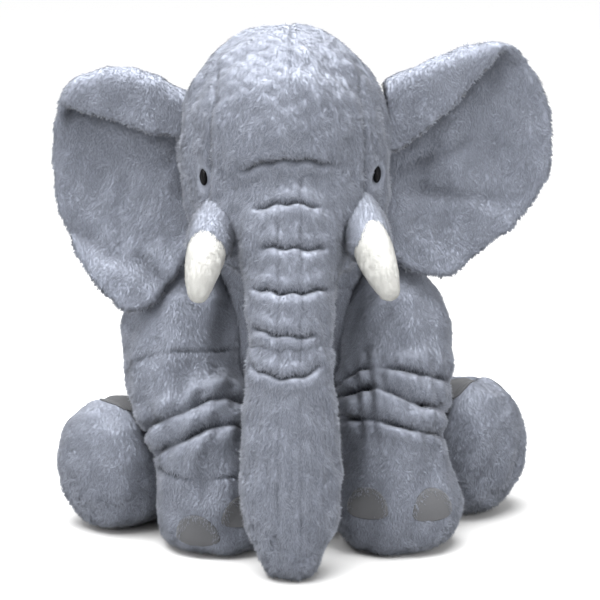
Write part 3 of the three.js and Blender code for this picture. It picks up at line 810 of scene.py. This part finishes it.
# ---- The head with the upper half of the trunk: a high domed forehead over a face that narrows
# into the trunk. A strip of plush runs over the crown and down the trunk, with tucks stitched
# across it, and a round cheek panel is sewn to each side of it. The plush dents in at the eyes.
FACE = [
    ((-7, -38, 446), (117, 121, 130)),
    ((-8, -72, 468), (96, 98, 90)),
    ((-3, -98, 372), (90, 64, 60)),
    ((-68, -46, 396), (50, 64, 74)),
    ((60, -46, 396), (48, 64, 74)),
    ((0, -26, 348), (92, 80, 62)),
    ((0, -92, 300), (40, 34, 24)),
]
TRUNK_UPPER = [
    (0, -112, 400, 74, 50),
    (0, -132, 357, 60, 54),
    (0, -160, 308, 48, 45),
    (0, -181, 268, 44, 42),
    (0, -189, 238, 40, 38),
]
# Each tuck is the middle of its stitching, from how far left to how far right it runs, how much
# its right end drops, how much its middle rises above its ends, and its depth.
TUCKS = [
    ((0, 437), -55, 46, -6, 9, 8),
    ((0, 395), -40, 32, -2, 7, 5.5),
    ((0, 352), -33, 38, 3, 2, 5),
    ((0, 309), -43, 44, 1, -1, 7),
    ((0, 266), -45, 30, 7, -1, 6.5),
]
TUCK_WIDTH = 4.6 * MM


def tuck_in(points, normals, tucks, shift=0.0):
    """Presses the stitched tucks into a face or a trunk, and gives the painted shade for the pile's colour in
    them.
    """
    painted_shade = np.zeros(len(points))
    across = (points[:, 0] - drawing.x) / MM
    for (middle, height), left, right, drop, bow, depth in tucks:
        share = (across - (left + right) / 2) / ((right - left) / 2)
        line = (height - drop * share * 0.5 - bow * (share**2 - 0.4)) * MM
        line += 1.2 * MM * np.sin(across / 4.1 + height)
        reach = 1 - ramp(np.abs(share), 0.72, 1.12)
        front = ramp(-normals[:, 1], 0.1, 0.45)
        where = reach * front
        painted_shade = np.maximum(painted_shade, crease(points, normals, points[:, 2] - line, depth * MM, TUCK_WIDTH, where))
    return painted_shade


def strip_seams(points, normals, top, bottom):
    """Two faint lines of stitching pressed down the strip, and the painted shade along them."""
    painted_shade = np.zeros(len(points))
    for line in (-12.7 * MM, 11 * MM):
        between = ramp(points[:, 2], bottom, bottom + 20 * MM) * (1 - ramp(points[:, 2], top - 20 * MM, top))
        where = between * ramp(-normals[:, 1], 0.1, 0.4)
        distance = points[:, 0] - drawing.x - line + 0.7 * MM * np.sin(points[:, 2] / (7 * MM))
        painted_shade = np.maximum(painted_shade, crease(points, normals, distance, 1.4 * MM, 2.6 * MM, where))
    return painted_shade


shape = bmesh.new()
for middle, radii in FACE:
    soft_ball(shape, middle, radii)
soft_tube(shape, TRUNK_UPPER, domes=(0.6, 0.2))
face = to_object(shape, "plush_head")
remesh(face, CELL, smooth=14)
swell(face, 6 * MM)
refine(face)
points, normals = points_of(face), normals_of(face)
# The tucks and seams are pressed in, with painted shade along them.
painted_shade = tuck_in(points, normals, TUCKS)
stitched = strip_seams(points, normals, 440 * MM, 150 * MM)
height = points[:, 2] / MM
across = (points[:, 0] - drawing.x) / MM
gusset = 84 - 10 * ramp(height, 440, 560) - 8 * (1 - ramp(height, 350, 400))
on_face = ramp(-normals[:, 1], -0.25, 0.2) * ramp(height, 345, 372) * (1 - ramp(height, 500, 560))
cheek_seam = crease(points, normals, (np.abs(across + 3) - gusset) * MM, 2.6 * MM, 4 * MM, on_face)
crown = ramp(height, 500, 530)
crown_seam = crease(points, normals, across * MM, 1.4 * MM, 3 * MM, crown)
EYE_DENT = 12 * MM
eye_spots = {}
bare, short = np.zeros(len(points)), np.zeros(len(points))
cheeks = BVHTree.FromObject(face, bpy.context.evaluated_depsgraph_get())
for side in ("left", "right"):
    low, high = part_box(f"eye_{side}")
    outward = Vector((-0.97 if side == "left" else 0.97, -0.24, -0.04)).normalized()
    ahead = (low + high) / 2 + Vector((0, -0.1, 0.004))
    spot = cheeks.ray_cast(ahead, Vector((0, 1, 0)))[0]
    eye_spots[side] = (spot, outward)
    away = np.linalg.norm(points - np.array(spot), axis=1)
    points -= normals * (3.5 * MM * np.exp(-((away / EYE_DENT) ** 2)))[:, None]
    bare = np.maximum(bare, 1 - ramp(away, 7.5 * MM, 9.5 * MM))
    short = np.maximum(short, 0.72 * (1 - ramp(away, 9 * MM, 24 * MM)))
    # Painted shade round the eye, in its dent.
    painted_shade = np.maximum(painted_shade, 0.6 * (1 - ramp(away, 8 * MM, 13 * MM)))
points += normals * (1.8 * MM * ripple(points, 50 * MM, 81))[:, None]
points += normals * (0.7 * MM * ripple(points, 16 * MM, 82))[:, None]
move_points(face, points)
shade = np.maximum.reduce([painted_shade, 0.4 * cheek_seam, 0.2 * stitched, 0.2 * crown_seam])
grow_pile(face, plush, long_pile, bare=bare, shade=shade, short=short)
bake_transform(face)
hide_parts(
    "head_stuffing",
    "head_gusset",
    "head_left_panel",
    "head_right_panel",
    "chin_pad",
    "trunk_upper_stuffing",
    "trunk_upper_front_panel",
    "trunk_upper_rear_panel",
)


# ---- The lower half of the trunk: a smooth full tube that swells a little and ends in a blunt
# point on the floor. It is sewn on at the last tuck, and the strip goes on down its front.
TRUNK_LOWER = [
    (0, -188, 244, 44, 42),
    (0, -197, 196, 46, 45),
    (0, -205, 138, 51, 48),
    (0, -209, 90, 52, 48),
    (0, -211, 54, 46, 42),
    (0, -211, 28, 34, 31),
]
LAST_TUCK = [((0, 227), -44, 33, 0, -9, 7)]
shape = bmesh.new()
soft_tube(shape, TRUNK_LOWER, domes=(0.25, 0.9), count=18)
trunk = to_object(shape, "plush_trunk_tip")
remesh(trunk)
swell(trunk, 3 * MM)
refine(trunk)
points, normals = points_of(trunk), normals_of(trunk)
# The last tuck and the strip's seams are pressed in, with painted shade along them.
painted_shade = tuck_in(points, normals, LAST_TUCK)
stitched = strip_seams(points, normals, 290 * MM, 25 * MM)
points += normals * (1.6 * MM * ripple(points, 45 * MM, 91))[:, None]
points += normals * (0.8 * MM * ripple(points, 15 * MM, 92))[:, None]
move_points(trunk, points)
rest_on_floor(trunk)
grow_pile(trunk, plush, long_pile, shade=np.maximum(painted_shade, 0.15 * stitched))
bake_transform(trunk)
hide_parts("trunk_lower_stuffing", "trunk_lower_front_panel", "trunk_lower_rear_panel")


# ---- The ears: two flat layers of plush with thin wadding between them, sewn into the side seams of the head. The upper edge of each is rolled forwards and down, which leaves a hollow in shade, and painted shadow darkens the pile just under the flap.
# Each outline gives heights at distances from the middle: the lower edge, the ridge of the roll
# and how far the flap hangs down in front of it. A valley is a point of it, the way across it, its
# length and its depth, and swing is how far forward the lower edge hangs.
EARS = {
    "left": dict(
        side=-1,
        lower=[(104, 330), (116, 322), (131, 298), (152, 272), (172, 264), (190, 268), (221, 295)]
        + [(242, 326), (258, 362), (266, 396), (269, 421)],
        ridge=[(104, 492), (120, 498), (156, 517), (183, 524), (222, 519), (244, 505), (257, 472)]
        + [(269, 421)],
        flap=[(104, 44), (125, 46), (156, 58), (189, 54), (225, 38), (244, 20), (269, 0)],
        valleys=[((-150, 300), (0.75, 0.66), 40, 7), ((-215, 330), (0.5, 0.86), 60, 3)],
        swing=16,
    ),
    "right": dict(
        side=1,
        lower=[(104, 322), (122, 312), (140, 303), (166, 297), (184, 302), (222, 331), (250, 354)]
        + [(274, 382), (286, 408), (292, 434), (294, 460)],
        ridge=[(104, 510), (165, 536), (205, 549), (230, 552), (252, 544), (270, 527), (284, 503)]
        + [(294, 460)],
        flap=[(104, 74), (122, 76), (160, 62), (189, 46), (215, 24), (240, 12), (296, 0)],
        valleys=[((185, 385), (0.1, 0.99), 70, 4), ((160, 430), (-0.35, 0.94), 60, 4)],
        swing=6,
    ),
}
EAR_THICK = 11 * MM
ROLL = 17.0


def along_edge(points, count=200):
    """A dense smooth line through a few outline points, as distances and heights."""
    line = smooth_rows([(*point, 0) for point in points], count)
    return line[:, 0], line[:, 1]


def ear_depth(out, height):
    """How far forward or back the ear lies, in mm of the drawing."""
    out, down = max(0, out - 127), max(0, 440 - height)
    return -12 - 0.0017 * down**2 - 0.0008 * out**2 + 0.1 * out


for name, ear in EARS.items():
    low_line, ridge_line, flap_line = (along_edge(ear[edge]) for edge in ("lower", "ridge", "flap"))
    root, tip = ear["lower"][0][0], ear["lower"][-1][0] - 3
    sheet = bmesh.new()
    bmesh.ops.create_grid(sheet, x_segments=60, y_segments=90, size=1)
    for v in sheet.verts:
        out = root + (tip - root) * math.sin((v.co.x + 1) * math.pi / 4)
        bottom = float(np.interp(out, *low_line))
        ridge = float(np.interp(out, *ridge_line))
        hang = max(0.0, float(np.interp(out, *flap_line)))
        front = (math.pi * ROLL + hang - ROLL) * min(1, hang / 20)
        plain = max(ridge - ROLL - bottom, 1) if hang > 0 else ridge - bottom
        way = (v.co.y + 1) / 2 * (plain + front)
        back = 0.0
        height = bottom + way
        if way > plain:
            turn = min((way - plain) / ROLL, math.pi)
            height = bottom + plain + ROLL * math.sin(turn)
            back = ROLL * (1 - math.cos(turn))
            height -= max(0, way - plain - math.pi * ROLL)
        v.co = place(ear["side"] * out, ear_depth(out, min(height, bottom + way)) - back, height)
    bmesh.ops.recalc_face_normals(sheet, faces=sheet.faces)
    piece = to_object(sheet, f"plush_ear_{name}")
    thick = piece.modifiers.new("thick", "SOLIDIFY")
    thick.thickness = EAR_THICK
    thick.offset = 0
    apply_all(piece)
    remesh(piece, 4 * MM, smooth=5)
    refine(piece)
    points, normals = points_of(piece), normals_of(piece)
    across, height = (points[:, 0] - drawing.x) / MM, points[:, 2] / MM
    push = np.zeros(len(points))
    painted_shade = np.zeros(len(points))
    # Each valley is pressed in, with a little painted shade along it.
    for (x, z), facing, length, depth in ear["valleys"]:
        facing = np.array(facing) / np.linalg.norm(facing)
        away = (across - x) * facing[0] + (height - z) * facing[1]
        run = (across - x) * facing[1] - (height - z) * facing[0]
        near = 1 - ramp(np.abs(run), 0.4 * length, length)
        push += depth * MM * np.exp(-((away / 9) ** 2)) * near
        painted_shade = np.maximum(painted_shade, 0.25 * np.exp(-((away / 7) ** 2)) * near)
    reach = ear["side"] * across
    # Painted shadow: the pile's colour is darkest on the sheet behind the flap, just under its hem.
    hem = np.interp(reach, *ridge_line) - np.interp(reach, *flap_line)
    hung = ramp(np.interp(reach, *flap_line), 6, 20)
    sheet_depth = np.array([place(0, ear_depth(out, up), 0).y for out, up in zip(reach, height)])
    behind = ramp(points[:, 1] - sheet_depth, -1.3 * ROLL * MM, -0.7 * ROLL * MM)
    painted_shade = np.maximum(painted_shade, 0.62 * ramp(height - hem, -24, 2) * behind * hung * (normals[:, 1] < 0.2))
    push -= ear["swing"] * MM * ramp(-height, -345, -270)
    push += 3.2 * MM * ripple(points * np.array((1, 0, 1)), 95 * MM, 95 if name == "left" else 96)
    points[:, 1] += push
    points += normals * (0.9 * MM * ripple(points, 32 * MM, 97))[:, None]
    move_points(piece, points)
    grow_pile(piece, plush, long_pile, lay=np.array((0.25 * ear["side"], -0.1, -1.0)), shade=painted_shade)
    outward = Vector((ear["side"], 0, 0))
    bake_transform(piece)
    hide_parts(f"ear_{name}_wadding", f"ear_{name}_front_panel", f"ear_{name}_back_panel")


# ---- The tusks: soft cones of cream plush with a very short nap, stuffed firmly, each set into a
# collar of the grey plush below the cheek.
TUSKS = {
    "left": [
        (-86, -138, 362, 18, 18),
        (-90, -160, 340, 21, 21),
        (-95, -177, 318, 17, 17),
        (-97, -185, 303, 12, 12),
    ],
    "right": [
        (83, -138, 364, 18, 18),
        (89, -160, 342, 21, 21),
        (98, -177, 320, 17, 17),
        (104, -185, 305, 12, 12),
    ],
}
cream = pile_finish("cream_plush", (0.3, 0.299, 0.284, 1), (0.355, 0.354, 0.342, 1), (0.385, 0.384, 0.372, 1))
short_pile = lock_planter("short_pile", 1500000, 1.5 * MM, 0.4 * MM, 7)
for side, rows in TUSKS.items():
    shape = bmesh.new()
    soft_tube(shape, rows, domes=(0.3, 0.9))
    tusk = to_object(shape, f"plush_tusk_{side}")
    remesh(tusk, 3 * MM)
    refine(tusk)
    grow_pile(tusk, cream, short_pile, lay=np.array((0, -0.6, -0.8)), rise=0.25, clump=9 * MM, swirl=30 * MM)
    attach(tusk, "head")
    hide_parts(f"tusk_{side}_stuffing", f"tusk_{side}_cover")
    collar_rows = [
        (rows[0][0] * 0.82, -96, 388, 20, 20),
        (rows[0][0] * 0.93, -122, 367, 25, 25),
        (rows[0][0] * 1.0, -143, 352, 24, 24),
        (rows[0][0] * 1.02, -154, 342, 22, 22),
    ]
    shape = bmesh.new()
    soft_tube(shape, collar_rows, domes=(0.8, 0.15))
    collar = to_object(shape, f"plush_tusk_collar_{side}")
    remesh(collar, 4 * MM)
    refine(collar)
    grow_pile(collar, plush, long_pile, lay=np.array((0, -0.6, -0.8)))
    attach(collar, "head")
    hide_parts(f"tusk_socket_{side}")


# ---- The eyes: black plastic domes on stems, pushed through the cheek and held inside by a washer.
EYE_RADIUS = 8.5 * MM
EYE_SUNK = 1.6 * MM
EYE_PROPORTIONS = (0.95, 1.1, 0.5, 1)
black = bpy.data.materials.new("black_plastic")
black.use_nodes = True
black_surface = black.node_tree.nodes["Principled BSDF"]
black_surface.inputs["Specular IOR Level"].default_value = 0.04
black_place = black.node_tree.nodes.new("ShaderNodeTexCoord")
black_wear = black.node_tree.nodes.new("ShaderNodeTexNoise")
black_wear.inputs["Scale"].default_value = 260
black_rough = black.node_tree.nodes.new("ShaderNodeMapRange")
black_rough.inputs["To Min"].default_value = 0.08
black_rough.inputs["To Max"].default_value = 0.2
black_colour = black.node_tree.nodes.new("ShaderNodeMix")
black_colour.data_type = "RGBA"
black_colour.inputs["A"].default_value = (0.002, 0.002, 0.002, 1)
black_colour.inputs["B"].default_value = (0.005, 0.005, 0.006, 1)
black.node_tree.links.new(black_place.outputs["Object"], black_wear.inputs["Vector"])
black.node_tree.links.new(black_wear.outputs["Fac"], black_rough.inputs["Value"])
black.node_tree.links.new(black_wear.outputs["Fac"], black_colour.inputs["Factor"])
black.node_tree.links.new(black_colour.outputs["Result"], black_surface.inputs["Base Color"])
black.node_tree.links.new(black_rough.outputs["Result"], black_surface.inputs["Roughness"])
for side, (spot, outward) in eye_spots.items():
    turn = outward.to_track_quat("Z", "Y").to_matrix().to_4x4()
    where = Matrix.Translation(spot - outward * EYE_SUNK) @ turn @ Matrix.Diagonal(EYE_PROPORTIONS)
    dome = bmesh.new()
    bmesh.ops.create_uvsphere(dome, u_segments=40, v_segments=24, radius=EYE_RADIUS, matrix=where)
    eye = to_object(dome, f"plastic_eye_{side}")
    eye.data.materials.append(black)
    eye.data.shade_smooth()
    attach(eye, "head")
    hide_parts(f"eye_{side}")

# The washers are of pale plastic, moulded with the same faint unevenness.
washer_finish = black.copy()
washer_finish.name = "washer_plastic"
washer_colour = washer_finish.node_tree.nodes[black_colour.name]
washer_colour.inputs["A"].default_value = (0.62, 0.62, 0.6, 1)
washer_colour.inputs["B"].default_value = (0.7, 0.7, 0.68, 1)
for side in ("left", "right"):
    washer = frame["nodes"][f"eye_washer_{side}"]
    washer.data.materials.clear()
    washer.data.materials.append(washer_finish)


# ---- The tail: a thin soft cord of plush sewn to the back seam, with a tuft of longer pile. It
# hangs close to the body and swings from its root.
TAIL = [(0, 166, 126, 12, 12), (0, 184, 110, 10, 10), (0, 193, 88, 9, 9), (0, 199, 62, 9, 9)]
TUFT = [(0, 200, 62, 10, 10), (0, 202, 42, 15, 15), (0, 201, 26, 9, 9)]
shape = bmesh.new()
soft_tube(shape, TAIL, domes=(0.6, 0.6))
tail = to_object(shape, "plush_tail")
remesh(tail, 3 * MM)
refine(tail)
grow_pile(tail, plush, long_pile)
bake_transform(tail)
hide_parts("tail")
tuft_pile = lock_planter("tuft_pile", 160000, 15 * MM, 1.6 * MM, 17)
shape = bmesh.new()
soft_tube(shape, TUFT, domes=(0.6, 0.8))
tuft = to_object(shape, "plush_tail_tuft")
remesh(tuft, 3 * MM)
refine(tuft)
grow_pile(tuft, plush, tuft_pile, rise=0.3)
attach(tuft, "tail")
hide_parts("tail_tuft")
